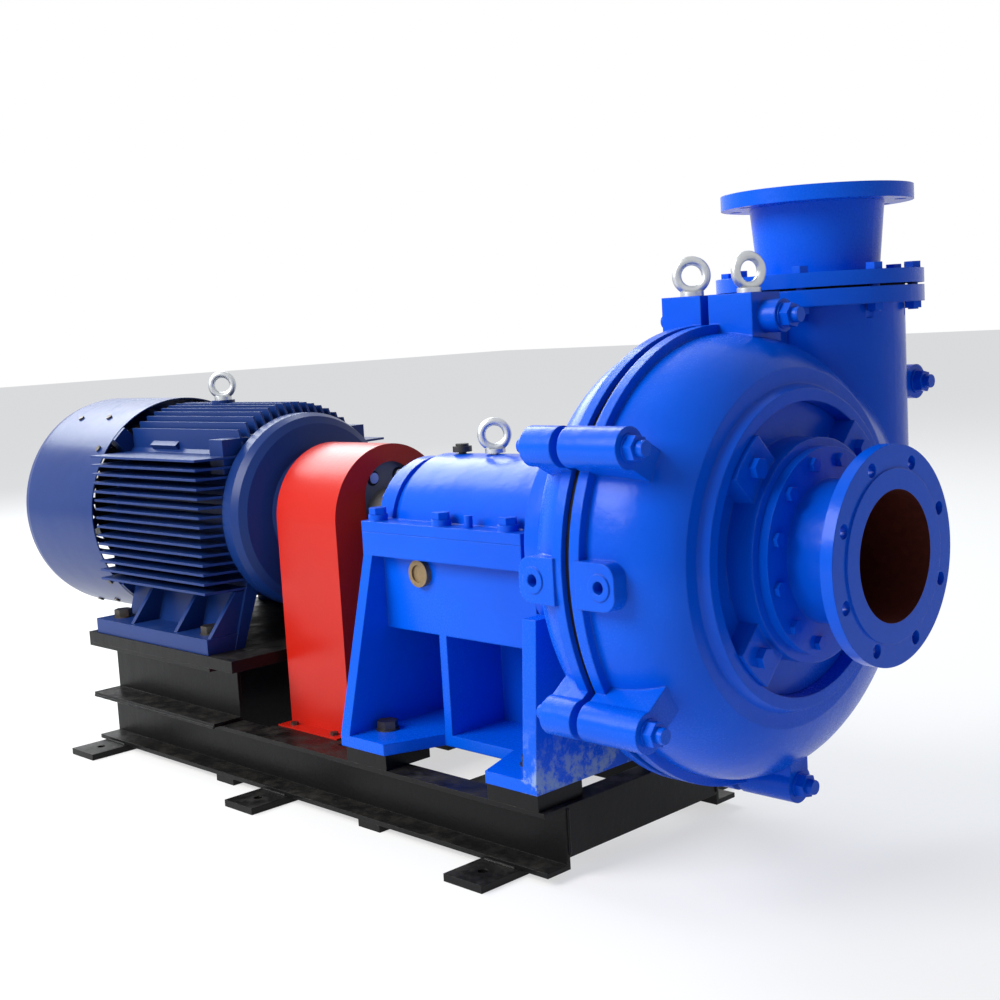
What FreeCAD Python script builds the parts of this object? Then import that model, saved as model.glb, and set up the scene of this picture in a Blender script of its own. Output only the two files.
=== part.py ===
import FreeCAD, Part
import math
import os

# Horizontal split-casing slurry pump set: channel base, bearing bracket, lined casing, guarded
# pin coupling and a foot-mounted motor. Millimetres, +Z up.
# Everything is drawn from the suction flange face, with the shaft line as X (pump end +X).
# save() moves it to the hand-over frame: the origin is on the floor, in the middle of the four
# corner anchor holes.

V = FreeCAD.Vector
os.makedirs("parts", exist_ok=True)

# --- set ---------------------------------------------------------------------------------
shaft_height = 564.0        # shaft line above the floor
fit = 0.3                   # clearance between machined faces of different pieces
running = 0.05              # radial running clearance on shafts
seat = 0.02                 # radial clearance of pushed-on parts that turn together

# --- base frame --------------------------------------------------------------------------
lug_t = 14.0                # anchor lug plate
lug_w = 95.0
lug_reach = 90.0            # how far a lug stands out past the channel lip
lug_inset = 80.0            # how far it runs in under the channel
anchor_hole_r = 9.0
anchor_pitch_x = 1305.0     # between the two outer pairs of anchor holes
anchor_half_y = 303.0
anchor_mid_x = -15.0        # the middle pair sits this far off the centre
suction_to_anchor = 1288.0  # suction face to the middle of the anchor pattern
rail_h = 113.0              # side channels, lips outward
rail_b = 50.0
rail_web = 7.0
rail_flange = 9.0
rail_half_y = 212.5         # outer face of each web
base_x1 = -519.0            # pump end of the base
base_x0 = -2012.0           # motor end of the base
end_channel_h = 92.0
end_channel_b = 45.0
cross_bar_w = 64.0
cross_bar_t = 14.0
cross_bar_x = (-1516.0, -1027.0)
deck_t = 8.0
deck_x0 = -1385.0
deck_x1 = -1150.0

# --- motor stool -------------------------------------------------------------------------
stool_x0 = -1990.0
stool_x1 = -1481.0
stool_flange = 68.0
stool_wall = 8.0
stool_top_t = 25.0
stool_top_x1 = -1395.0

# --- bearing bracket ---------------------------------------------------------------------
foot_t = 22.0
foot_half_y = 266.0
pad_h = 30.0
bracket_x0 = -1057.0        # coupling end
bracket_x1 = -530.0         # pump end
end_wall_t = 26.0
yoke_t = 32.0
yoke_screw_circle = 196.0
yoke_half_y = 246.0
yoke_r = 232.0
notch_half_y = 150.0
notch_x0 = -930.0
notch_x1 = -655.0
notch_slope = 45.0
housing_x1 = -622.0         # end of the machined bearing housing
parting_half_y = 180.0
lower_flange_t = 46.0
cap_flange_t = 21.0
sump_half_y = 150.0
sump_depth = 192.0
sump_wall = 18.0
cap_r_end = 129.0
cap_r_mid = 142.0
cap_wall = 14.0
web_t = 20.0
web_x = -884.0
cap_bolt_r = 10.0
cap_bolt_x = (-1029.0, -847.0, -671.0)
cap_bolt_y = 160.0
cap_boss_h = 12.0
cap_boss_r = 19.0
dowel_r = 8.0
dowel_x = -773.0
dowel_h = 22.0
foot_bolt_r = 12.0
foot_bolt_x = (-1006.0, -612.0)
foot_bolt_y = 190.0
glass_r = 26.0
glass_x = -921.0
glass_z = -76.0
breather_x = -950.0
housing_eye_x = -857.0
eye_pad_z = 140.0
eye_pad_r = 23.0

# --- bearings and shaft ------------------------------------------------------------------
bearing_or = 100.0
outer_race_t = 12.0
roller_r = 16.0
roller_gap = 0.1            # rollers to the outer race
roller_count = 14
bearing_w = 52.0
bearing_x = (-1012.0, -668.0)
shaft_r_bearing = 45.0
shaft_r_mid = 52.0
shaft_r_wet = 42.0
shaft_r_coupling = 38.0
sleeve_r = 58.0
sleeve_x0 = -598.0
cover_t = 16.0
cover_r = 122.0
cover_bolt_r = 5.0
cover_bolts = 6
cover_bolt_pcd_r = 111.0
shaft_wet_x = -330.0        # front end of the shaft, in the impeller hub
shaft_step_x = -1085.0

# --- casing ------------------------------------------------------------------------------
split_x = -347.0
split_gap = 16.0            # filled by the rubber joint ring
lip_r = 362.0               # outer edge of the split lip, left of the shaft
lip_out = 15.0              # the lip stands this far past the shell
lip_t = 20.0
grow_bottom = 60.0          # the spiral opens by this much to the bottom
grow_right = 28.0           # and by this much more on the discharge side
cutwater_angle = 50.0
bulge = 80.0
face_x = -174.0             # front end of the dome
face_r = 289.0
rim_x = -156.0
rim_r = 256.0
rim_bore_r = 236.0
back_face_x = -482.0
back_face_r = 262.0
rim_base_r = 264.0
back_hub_r = 222.0
shell_wall = 20.0
liner_half = 115.0          # half width of the volute liner
liner_wall = 25.0
liner_round = 50.0
cutwater_r = 258.0
side_bore_r = 241.0         # openings in the liner sides, taken by the two side liners
cover_bore_r = 188.0        # openings in the casing, taken by suction cover and stuffing box
step_x = -200.0             # seat of the suction cover flange in the front half
back_lip_r = 170.0          # smaller bore that holds the stuffing box from behind
back_lip_t = 12.0
neck_r = 150.0
neck_liner_r = 125.0
outlet_r = 101.5
casing_flange_r = 184.0
casing_flange_t = 29.0
casing_flange_z = 411.0     # top face of the casing discharge flange
stud_r = 12.0
stud_boss_r = 32.0
# stud centre (y, z), rear and front face of its bosses, point that the bosses are webbed towards
studs = ((-343.0, 194.0, -418.0, -224.0, (0.0, 0.0)), (-331.0, -232.0, -418.0, -222.0, (0.0, 0.0)),
         (66.0, -418.0, -424.0, -233.0, (60.0, 0.0)), (505.0, -130.0, -430.0, -262.0, (60.0, 28.0)),
         (532.0, 233.0, -430.0, -262.0, (345.0, 233.0)))
top_stud = (45.0, 371.0, -437.0, -217.0)
top_box_y = (6.0, 84.0)
top_box_x = (-437.0, -252.0)
top_boss_r = 27.0
ear_z = -12.0
ear_half_z = 37.0
ear_end = 30.0              # material beyond the hole
ear_round = 24.0
ear_hole_r = 10.0
ear_ring_r = 21.0
ear_front_x = -277.0
ear_back_x = -413.0
ear_y = -366.0

# --- impeller ----------------------------------------------------------------------------
impeller_r = 225.0
impeller_half = 75.0
shroud_t = 16.0
impeller_gap = 1.0
eye_r = 100.0
vane_count = 5
vane_t = 20.0
hub_r = 66.0

# --- suction side ------------------------------------------------------------------------
suction_bore_r = 101.5
suction_flange_r = 170.0
suction_flange_t = 24.0
suction_pcd_r = 147.5
suction_hole_r = 11.0
suction_holes = 8
raised_r = 134.0
raised_h = 3.0
pipe_wall = 13.0
ring_r = 165.0
ring_t = 17.0
ring_x = -118.0
ring_pcd_r = 145.0
ring_bolts = 12
ring_bolt_r = 7.0
throat_r = 128.0
hub_ring_r = 179.0
pad_face_x = -148.0
pocket_floor_x = -184.0
cover_pad_w = 86.0
cover_pad_pcd_r = 206.0
cover_pad_bolt_r = 10.0

# --- discharge side ----------------------------------------------------------------------
gasket_t = 4.0
spool_flange_t = 25.0
spool_pcd_r = 165.0
spool_bolts = 8
spool_bolt_r = 9.0
spool_bottom_r = 108.0
spool_top_r = 119.0
outlet_flange_r = 170.0
outlet_flange_t = 26.0
outlet_z = 588.0
outlet_pcd_r = 147.5
outlet_hole_r = 11.0
outlet_holes = 8
liner_bore_r = 103.0         # joint rings and throat liner are bored a little wider

# --- shaft seal --------------------------------------------------------------------------
seal_box_r = 108.0
seal_box_x = -572.0
seal_step_x = -478.0        # bottom of the packing space
seal_bore_r = 84.0
packing_rings = 5
packing_w = 14.0
gland_flange_r = 118.0
gland_t = 12.0
gland_gap = 6.0
gland_stud_r = 7.0
gland_stud_y = 98.0

# --- coupling and guard ------------------------------------------------------------------
coupling_r = 118.0
coupling_flange_t = 36.0
coupling_hub_r = 60.0
coupling_hub_l = 70.0
coupling_gap = 5.0
coupling_x = -1232.0        # motor side face of the gap
pin_count = 8
pin_pcd_r = 90.0
pin_r = 8.0
bush_r = 16.0
guard_x0 = -1376.0
guard_x1 = -1176.0
guard_r = 152.0
guard_t = 3.0
guard_slot_r = 70.0         # slot in the pump side plate
guard_slot_z = 45.0
guard_motor_slot_r = 106.0  # wider slot round the motor shield boss
guard_flange_w = 36.0
guard_bolt_x = (-1342.0, -1206.0)
guard_bolt_y = 170.0
guard_bolt_r = 5.0

# --- motor -------------------------------------------------------------------------------
motor_shaft_height = 282.0
motor_foot_half_y = 275.0
motor_foot_x0 = -1958.0
motor_foot_x1 = -1490.0
motor_foot_t = 34.0
motor_foot_w = 92.0
motor_bolt_y = 228.5
motor_bolt_x = (-1914.0, -1546.0)
motor_bolt_r = 12.0
motor_eye_x = -1769.0
motor_lug_x = (-1545.0, -1494.0)
motor_lug_y = 195.0
motor_lug_z = (98.0, 173.0)
frame_r = 206.0
frame_wall = 14.0
frame_x0 = -1944.0
frame_x1 = -1484.0
fin_t = 5.0
fin_pitch = 20.5
fin_reach = 262.0
fin_top_r = 240.0
motor_eye_z = 246.0
side_fins = 15
top_fins = 15
fin_x1 = -1470.0
fin_slope = 34.0
shield_r = 216.0
shield_x1 = -1350.0
shield_boss_r = 96.0
shield_wall = 14.0
motor_shaft_r = 37.5
motor_journal_r = 42.0
motor_bearing_r = 90.0
motor_bearing_w = 40.0
stator_bore_r = 128.0
rotor_gap = 1.0
core_x0 = -1880.0
core_x1 = -1560.0
cowl_r = 265.0
cowl_z = -13.0              # cowl axis below the shaft
cowl_t = 3.0
cowl_x0 = -2330.0
cowl_x1 = -1955.0
cowl_round = 60.0
cowl_screw_r = 4.0
cowl_screws = ((-1992.0, 143.0), (-2062.0, 121.0), (-2192.0, 122.0), (-2102.0, -121.0),
               (-2228.0, -115.0), (-1992.0, -143.0), (-1992.0, 37.0), (-2062.0, 59.0),
               (-2192.0, 58.0), (-2102.0, -59.0), (-2228.0, -65.0), (-1992.0, -37.0))
rib_x = (-1822.0, -1640.0, -1506.0)
rib_t = 12.0
fan_r = 205.0
fan_x0 = -2120.0
fan_x1 = -2040.0
fan_blades = 9
term_x = (-1730.0, -1565.0)
term_y = (226.0, 340.0)
term_z = (-52.0, 56.0)
cable_hole_r = 20.0

# --- hardware ----------------------------------------------------------------------------
eye_ring_r = 25.0
eye_wire_r = 8.0
eye_collar_r = 20.0
eye_collar_h = 8.0
eye_thread_r = 9.0
eye_thread_l = 20.0
casing_eye_x = (-402.0, -284.0)

# Sizes that follow from the ones above.
floor_z = -shaft_height
rail_z0 = floor_z + lug_t
rail_z1 = rail_z0 + rail_h
rail_lip_y = rail_half_y + rail_b
bracket_z0 = rail_z1 + pad_h
foot_top_z = bracket_z0 + foot_t
stool_z1 = -motor_shaft_height
base_r = lip_r - lip_out
spiral_reach = 2 * grow_bottom + grow_right
neck_y = base_r + spiral_reach - neck_r
front_lip_x = split_x + split_gap / 2
back_lip_x = split_x - split_gap / 2
liner_r = base_r - shell_wall - fit
liner_x0 = split_x - liner_half
liner_x1 = split_x + liner_half
impeller_x0 = split_x - impeller_half
impeller_x1 = split_x + impeller_half
casing_flange_z0 = casing_flange_z - casing_flange_t
spool_z0 = casing_flange_z + gasket_t
pump_coupling_x = coupling_x + coupling_gap


# --- helpers -----------------------------------------------------------------------------
def save(name, *solids):
    shape = solids[0] if len(solids) == 1 else Part.makeCompound(list(solids))
    shape = shape.translated(V(suction_to_anchor, 0, shaft_height))
    shape.exportStep("parts/" + name + ".step")


def box(x0, x1, y0, y1, z0, z1):
    return Part.makeBox(x1 - x0, y1 - y0, z1 - z0, V(x0, y0, z0))


def rod_x(x0, x1, r, y=0.0, z=0.0):
    return Part.makeCylinder(r, x1 - x0, V(x0, y, z), V(1, 0, 0))


def rod_y(y0, y1, r, x, z):
    return Part.makeCylinder(r, y1 - y0, V(x, y0, z), V(0, 1, 0))


def rod_z(z0, z1, r, x, y):
    return Part.makeCylinder(r, z1 - z0, V(x, y, z0), V(0, 0, 1))


def tube_x(x0, x1, ro, ri, y=0.0, z=0.0):
    return rod_x(x0, x1, ro, y, z).cut(rod_x(x0, x1, ri, y, z))


def hexagon(centre, normal, across):
    r = across / math.sqrt(3)
    side = normal.cross(V(0.3, 0.2, 1.0)).normalize()
    other = normal.cross(side)
    points = []
    for i in range(7):
        a = math.radians(60 * i)
        points.append(centre + side * (r * math.cos(a)) + other * (r * math.sin(a)))
    return Part.Face(Part.makePolygon(points))


def bolt_head(centre, normal, thread_r):
    """Hexagon head or nut, 1.5 threads across and 0.65 threads high on its seat."""
    return hexagon(centre, normal, thread_r * 3.0).extrude(normal * (thread_r * 1.3))


def prism(points, direction):
    vectors = [V(*p) for p in points]
    return Part.Face(Part.makePolygon(vectors + [vectors[0]])).extrude(V(*direction))


def turned(points):
    """Solid of revolution about the shaft line from (x, radius) points."""
    wire = Part.makePolygon([V(x, 0, r) for x, r in points + [points[0]]])
    return Part.Face(wire).revolve(V(0, 0, 0), V(1, 0, 0), 360)


def polar(r, degrees):
    a = math.radians(degrees)
    return r * math.cos(a), r * math.sin(a)


def around(count, r, first):
    return [polar(r, first + 360.0 * i / count) for i in range(count)]


def join(first, *others):
    return first.fuse(list(others)).removeSplitter() if others else first


def mirror_y(shape):
    return shape.mirror(V(0, 0, 0), V(0, 1, 0))


# --- base frame: folded out channels, cross members and anchor lugs ----------------------
def side_rail():
    web = box(base_x0, base_x1, rail_half_y - rail_web, rail_half_y, rail_z0, rail_z1)
    low = box(base_x0, base_x1, rail_half_y, rail_lip_y, rail_z0, rail_z0 + rail_flange)
    top = box(base_x0, base_x1, rail_half_y, rail_lip_y, rail_z1 - rail_flange, rail_z1)
    return join(web, low, top)


def end_channel(x_web, inward):
    """Channel across the end of the base, web outward, flush with the top of the rails."""
    half = rail_half_y - rail_web
    z0 = rail_z1 - end_channel_h
    x_in = x_web + inward * end_channel_b
    x_a, x_b = sorted((x_web, x_in))
    w_a, w_b = sorted((x_web, x_web + inward * rail_web))
    web = box(w_a, w_b, -half, half, z0, rail_z1)
    top = box(x_a, x_b, -half, half, rail_z1 - rail_flange, rail_z1)
    low = box(x_a, x_b, -half, half, z0, z0 + rail_flange)
    return join(web, top, low)


def lug(x, side):
    y0 = rail_lip_y - lug_inset
    y1 = rail_lip_y + lug_reach
    plate = box(x - lug_w / 2, x + lug_w / 2, y0, y1, floor_z, rail_z0)
    plate = plate.cut(rod_z(floor_z, rail_z0, anchor_hole_r, x, anchor_half_y))
    return plate if side > 0 else mirror_y(plate)


def base_parts():
    rail = side_rail()
    save("base_rail_far", rail)
    save("base_rail_near", mirror_y(rail))
    save("base_end_channels", end_channel(base_x1, -1), end_channel(base_x0, 1))
    bars = [box(x, x + cross_bar_w, -rail_lip_y, rail_lip_y, rail_z0 - cross_bar_t, rail_z0)
            for x in cross_bar_x]
    middle = -suction_to_anchor
    lug_x = (middle - anchor_pitch_x / 2, middle + anchor_mid_x, middle + anchor_pitch_x / 2)
    save("anchor_lugs", *[lug(x, side) for x in lug_x for side in (-1, 1)])
    half = rail_half_y - rail_web
    deck = box(deck_x0, deck_x1, -half, half, rail_z1 - deck_t, rail_z1)
    deck = deck.cut([rod_z(rail_z1 - deck_t, rail_z1, guard_bolt_r + seat, x, y)
                     for x in guard_bolt_x for y in (-guard_bolt_y, guard_bolt_y)])
    save("base_cross_members", deck, *bars)
    pads = []
    for x0, x1 in ((bracket_x0 + 10, notch_x0), (notch_x1, bracket_x1 - 2)):
        pad = box(x0, x1, rail_half_y - 60, rail_lip_y, rail_z1, bracket_z0)
        pad = pad.cut([rod_z(rail_z1, bracket_z0, foot_bolt_r + seat, x, foot_bolt_y)
                       for x in foot_bolt_x])
        pads += [pad, mirror_y(pad)]
    save("bracket_pads", *pads)


# --- motor stool: two outward channels, end plates and a thick top plate -----------------
def stool_parts():
    z_top = stool_z1 - stool_top_t
    y_out = rail_half_y + stool_flange
    web = box(stool_x0, stool_x1, rail_half_y - stool_wall, rail_half_y, rail_z1, z_top)
    low = box(stool_x0, stool_x1, rail_half_y, y_out, rail_z1, rail_z1 + stool_wall)
    top = box(stool_x0, stool_x1, rail_half_y, y_out, z_top - stool_wall, z_top)
    beam = join(web, low, top)
    save("motor_stool_beams", beam, mirror_y(beam))
    half = rail_half_y - stool_wall
    top_plate = box(stool_x0, stool_top_x1, -y_out, y_out, z_top, stool_z1)
    holes = [rod_z(z_top, stool_z1, motor_bolt_r + seat, x, side * motor_bolt_y)
             for x in motor_bolt_x for side in (-1, 1)]
    plates = [top_plate.cut(holes)]
    for x, z_low in ((stool_x0 + 20, rail_z1), (stool_x1 - 20 - stool_wall, rail_z1 - 40)):
        plates.append(box(x, x + stool_wall, -half, half, z_low, z_top))
    save("motor_stool_plates", *plates)


# --- bearing bracket: foot, end walls, oil sump and the lower half of the housing --------
def yoke_screws():
    """Eight places on a circle, less the two that the oil sump closes."""
    return [(y, z) for y, z in around(8, yoke_screw_circle, 22.5) if z > -yoke_screw_circle / 2]


def trapezoid_wall(x, t, half_low, half_top, z_top):
    points = [(x, -half_low, bracket_z0), (x, half_low, bracket_z0), (x, half_low, foot_top_z),
              (x, half_top, z_top), (x, -half_top, z_top), (x, -half_low, foot_top_z)]
    return prism(points, (t, 0, 0))


def bracket_foot():
    inner_0 = notch_x0 + notch_slope
    inner_1 = notch_x1 - notch_slope
    points = [(bracket_x0 + 12, -foot_half_y), (notch_x0, -foot_half_y),
              (inner_0, -notch_half_y), (inner_1, -notch_half_y),
              (notch_x1, -foot_half_y), (bracket_x1, -foot_half_y)]
    points += [(x, -y) for x, y in reversed(points)]
    return prism([(x, y, bracket_z0) for x, y in points], (0, 0, foot_t))


def housing_bore():
    """Bearing seats at both ends of the housing and a wider chamber between them."""
    chamber_r = bearing_or + 4
    seats = [rod_x(x - bearing_w / 2 - 60, x + bearing_w / 2 + 60, bearing_or) for x in bearing_x]
    chamber = rod_x(bearing_x[0] + bearing_w / 2, bearing_x[1] - bearing_w / 2, chamber_r)
    return join(chamber, *seats)


def end_cover_holes():
    """Tapped holes in both end faces of the housing for the bearing end covers."""
    holes = []
    for x0, x1 in ((bracket_x0, bracket_x0 + 16), (housing_x1 - 16, housing_x1)):
        holes += [rod_x(x0, x1, cover_bolt_r + seat, y, z)
                  for y, z in around(cover_bolts, cover_bolt_pcd_r, 30)]
    return holes


def bearing_bracket():
    low_z = -lower_flange_t
    body = bracket_foot()
    left = trapezoid_wall(bracket_x0, end_wall_t, foot_half_y, parting_half_y, low_z)
    yoke = trapezoid_wall(bracket_x1 - yoke_t, yoke_t, foot_half_y, yoke_half_y, -110.0)
    yoke_disc = rod_x(bracket_x1 - yoke_t, bracket_x1, yoke_r)
    sump = box(bracket_x0, bracket_x1, -sump_half_y, sump_half_y, -sump_depth, low_z)
    flange = box(bracket_x0, housing_x1, -parting_half_y, parting_half_y, low_z, 0)
    centre_web = box(bracket_x0, bracket_x1, -web_t / 2, web_t / 2, bracket_z0, -sump_depth)
    cross_web = box(web_x, web_x + web_t, -notch_half_y, notch_half_y, bracket_z0, -sump_depth)
    body = join(body, left, yoke, yoke_disc, sump, flange, centre_web, cross_web)
    oil = box(bracket_x0 + end_wall_t + 6, housing_x1 - sump_wall, -sump_half_y + sump_wall,
              sump_half_y - sump_wall, -sump_depth + sump_wall, low_z)
    saddles = [box(x - bearing_w / 2 - 8, x + bearing_w / 2 + 8, -sump_half_y, sump_half_y,
                   -sump_depth, low_z) for x in bearing_x]
    body = body.cut(oil.cut(saddles)).cut(housing_bore())
    window = box(housing_x1, bracket_x1 - yoke_t, -sump_half_y, sump_half_y, -125.0, yoke_r)
    body = body.cut(window).cut(rod_x(bracket_x1 - yoke_t, bracket_x1, seal_box_r + 22))
    holes = [rod_z(bracket_z0, foot_top_z, foot_bolt_r + 1, x, side * foot_bolt_y)
             for x in foot_bolt_x for side in (-1, 1)]
    holes += [rod_z(low_z, 0, cap_bolt_r + fit, x, side * cap_bolt_y)
              for x in cap_bolt_x for side in (-1, 1)]
    holes += [rod_z(low_z, 0, dowel_r, dowel_x, side * cap_bolt_y) for side in (-1, 1)]
    holes += end_cover_holes()
    holes.append(rod_y(-sump_half_y, -sump_half_y + sump_wall, glass_r - 8, glass_x, glass_z))
    holes += [rod_x(bracket_x1 - yoke_t, bracket_x1, 9.0, y, z) for y, z in yoke_screws()]
    body = body.cut(holes)
    return body.removeSplitter()


def bearing_cap():
    flange = box(bracket_x0, housing_x1, -parting_half_y, parting_half_y, 0, cap_flange_t)
    ring_w = 32.0
    ends = [rod_x(bracket_x0, bracket_x0 + ring_w, cap_r_end),
            rod_x(housing_x1 - ring_w, housing_x1, cap_r_mid)]
    barrel = turned([(bracket_x0 + ring_w, 0), (bracket_x0 + ring_w, cap_r_end - 9),
                     (bracket_x0 + ring_w + 28, cap_r_mid - 6), (housing_x1 - ring_w, cap_r_mid - 2),
                     (housing_x1 - ring_w, 0)])
    top = join(flange, barrel, *ends)
    for x in cap_bolt_x:
        for side in (-1, 1):
            top = join(top, rod_z(0, cap_flange_t + cap_boss_h, cap_boss_r, x, side * cap_bolt_y))
    top = top.common(box(bracket_x0, housing_x1, -400, 400, 0, 400))
    inside = cap_r_mid - cap_wall
    top = top.cut(rod_x(bearing_x[0] + bearing_w / 2 + 8, bearing_x[1] - bearing_w / 2 - 8,
                        inside - 8))
    holes = [rod_z(0, 60, cap_bolt_r + fit, x, side * cap_bolt_y)
             for x in cap_bolt_x for side in (-1, 1)]
    holes += [rod_z(0, 60, dowel_r, dowel_x, side * cap_bolt_y) for side in (-1, 1)]
    holes.append(rod_z(90, eye_pad_z, 8.0, breather_x, 0))
    holes.append(rod_z(eye_pad_z - eye_thread_l - 2, eye_pad_z, eye_thread_r + fit,
                       housing_eye_x, 0))
    holes += [rod_z(eye_pad_z, eye_pad_z + 20, eye_pad_r, x, 0)
              for x in (breather_x, housing_eye_x)]
    holes += end_cover_holes()
    top = top.cut(housing_bore()).cut(holes)
    return top.removeSplitter()


def eyebolt(x, y, z, degrees):
    """Forged lifting eye seated on its collar, the ring turned about the vertical."""
    collar = rod_z(z, z + eye_collar_h, eye_collar_r, x, y)
    thread = rod_z(z - eye_thread_l, z, eye_thread_r, x, y)
    a = math.radians(degrees)
    centre = V(x, y, z + eye_collar_h + eye_ring_r + eye_wire_r - 6)
    ring = Part.makeTorus(eye_ring_r, eye_wire_r, centre, V(math.cos(a), math.sin(a), 0))
    return join(collar, thread, ring)


def bracket_parts():
    save("bearing_bracket", bearing_bracket())
    save("bearing_cap", bearing_cap())
    bolts = []
    for x in cap_bolt_x:
        for side in (-1, 1):
            y = side * cap_bolt_y
            top = cap_flange_t + cap_boss_h
            shank = rod_z(-lower_flange_t + 4, top, cap_bolt_r, x, y)
            bolts.append(join(shank, bolt_head(V(x, y, top), V(0, 0, 1), cap_bolt_r)))
    save("cap_bolts", *bolts)
    dowels = [rod_z(-lower_flange_t + 6, cap_flange_t + dowel_h, dowel_r - 0.02, dowel_x,
                    side * cap_bolt_y) for side in (-1, 1)]
    save("cap_dowels", *dowels)
    feet = []
    for x in foot_bolt_x:
        for side in (-1, 1):
            y = side * foot_bolt_y
            shank = rod_z(rail_z1 + 3, foot_top_z, foot_bolt_r, x, y)
            washer = rod_z(foot_top_z, foot_top_z + 3, foot_bolt_r * 1.9, x, y)
            head = bolt_head(V(x, y, foot_top_z + 3), V(0, 0, 1), foot_bolt_r)
            feet.append(join(shank, washer, head))
    save("bracket_foot_bolts", *feet)
    y = -sump_half_y
    glass = join(rod_y(y - 12, y, glass_r, glass_x, glass_z),
                 rod_y(y, y + sump_wall, glass_r - 8 - fit, glass_x, glass_z))
    save("oil_sight_glass", glass.cut(rod_y(y - 12, y - 8, glass_r - 9, glass_x, glass_z)))
    z = eye_pad_z
    save("breather_cap", join(rod_z(z, z + 11, 19, breather_x, 0), rod_z(z - 16, z, 7.7, breather_x, 0),
                              rod_z(z + 11, z + 16, 13, breather_x, 0)))


# --- bearings, end covers and the pump shaft ---------------------------------------------
def outer_race(x):
    return tube_x(x - bearing_w / 2, x + bearing_w / 2, bearing_or - seat, bearing_or - outer_race_t)


def inner_race(x):
    """Inner ring with its rollers, which run just clear of the outer ring."""
    race_r = bearing_or - outer_race_t - roller_gap - 2 * roller_r + 0.2
    ring = rod_x(x - bearing_w / 2, x + bearing_w / 2, race_r)
    pitch = bearing_or - outer_race_t - roller_gap - roller_r
    half = bearing_w / 2 - 6
    rollers = [rod_x(x - half, x + half, roller_r, y, z) for y, z in around(roller_count, pitch, 0)]
    bore = rod_x(x - bearing_w / 2, x + bearing_w / 2, shaft_r_bearing + seat)
    return join(ring, *rollers).cut(bore)


def bearing_cover(x_face, outward, race_x):
    """Bolted end cover whose spigot holds the outer race."""
    x_out = x_face + outward * cover_t
    a, b = sorted((x_face, x_out))
    c, d = sorted((x_face, race_x))
    cover = join(rod_x(a, b, cover_r), rod_x(c, d, bearing_or - fit))
    cover = cover.cut(rod_x(c, d, bearing_or - outer_race_t))
    cover = cover.cut(rod_x(a, b, shaft_r_bearing + 0.5))
    holes = [rod_x(a, b, cover_bolt_r + fit, y, z)
             for y, z in around(cover_bolts, cover_bolt_pcd_r, 30)]
    return cover.cut(holes)


def cover_screws(x_face, outward):
    screws = []
    for y, z in around(cover_bolts, cover_bolt_pcd_r, 30):
        x_out = x_face + outward * cover_t
        a, b = sorted((x_face - outward * 14, x_out))
        head = bolt_head(V(x_out, y, z), V(outward, 0, 0), cover_bolt_r)
        screws.append(join(rod_x(a, b, cover_bolt_r, y, z), head))
    return screws


def pump_shaft():
    end = pump_coupling_x
    coupling_end_race = bearing_x[0] + bearing_w / 2
    pump_end_race = bearing_x[1] - bearing_w / 2
    return turned([(end, 0), (end, shaft_r_coupling), (shaft_step_x, shaft_r_coupling),
                   (shaft_step_x, shaft_r_bearing), (coupling_end_race, shaft_r_bearing),
                   (coupling_end_race, shaft_r_mid), (pump_end_race, shaft_r_mid),
                   (pump_end_race, shaft_r_bearing), (sleeve_x0, shaft_r_bearing),
                   (sleeve_x0, shaft_r_wet), (shaft_wet_x, shaft_r_wet), (shaft_wet_x, 0)])


def shaft_parts():
    save("bearing_outer_rings", *[outer_race(x) for x in bearing_x])
    save("bearing_inner_rings", *[inner_race(x) for x in bearing_x])
    save("coupling_end_bearing_cover",
         bearing_cover(bracket_x0, -1, bearing_x[0] - bearing_w / 2))
    save("pump_end_bearing_cover", bearing_cover(housing_x1, 1, bearing_x[1] + bearing_w / 2))
    save("bearing_cover_bolts", *(cover_screws(bracket_x0, -1) + cover_screws(housing_x1, 1)))
    save("pump_shaft", pump_shaft())
    save("shaft_sleeve", tube_x(sleeve_x0, impeller_x0, sleeve_r, shaft_r_wet + seat))


# --- lined casing: two spiral shells bolted together on a plane across the shaft ---------
def spiral_wire(x, r, share):
    """Outline of the casing at x: round above and left, opening towards the discharge."""
    low = grow_bottom * share
    side = grow_right * share
    r_low = r + low
    r_side = r_low + side
    start = V(x, *polar(r, cutwater_angle))
    left = V(x, -r, 0)
    bottom = V(x, low, -r_low)
    right = V(x, low + r_side, side)
    y_b, z_b = polar(r_low, 225)
    y_c, z_c = polar(r_side, 315)
    arcs = [Part.Arc(start, V(x, *polar(r, 90 + cutwater_angle / 2)), left),
            Part.Arc(left, V(x, low + y_b, z_b), bottom),
            Part.Arc(bottom, V(x, low + y_c, side + z_c), right),
            Part.Arc(right, V(x, *polar(r + bulge * share, cutwater_angle / 2)), start)]
    return Part.Wire([arc.toShape() for arc in arcs])


def spiral_plate(x0, x1, r):
    return Part.Face(spiral_wire(x0, r, 1.0)).extrude(V(x1 - x0, 0, 0))


def neck_strip(x0, x1, half):
    return box(x0, x1, neck_y - half, neck_y + half, grow_right, casing_flange_z0)


def dome(x_lip, x_face, r_face):
    """Domed side of a casing half, from the spiral lip to the round face."""
    wires = []
    end = (1 - 0.9 ** 2.2) ** 0.5
    for u in (0.0, 0.22, 0.42, 0.6, 0.76, 0.89, 1.0):
        share = ((1 - (0.9 * u) ** 2.2) ** 0.5 - end) / (1 - end)
        r = r_face + (base_r - r_face) * share
        wires.append(spiral_wire(x_lip + (x_face - x_lip) * u, r, share))
    return Part.makeLoft(wires, True, False)


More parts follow.
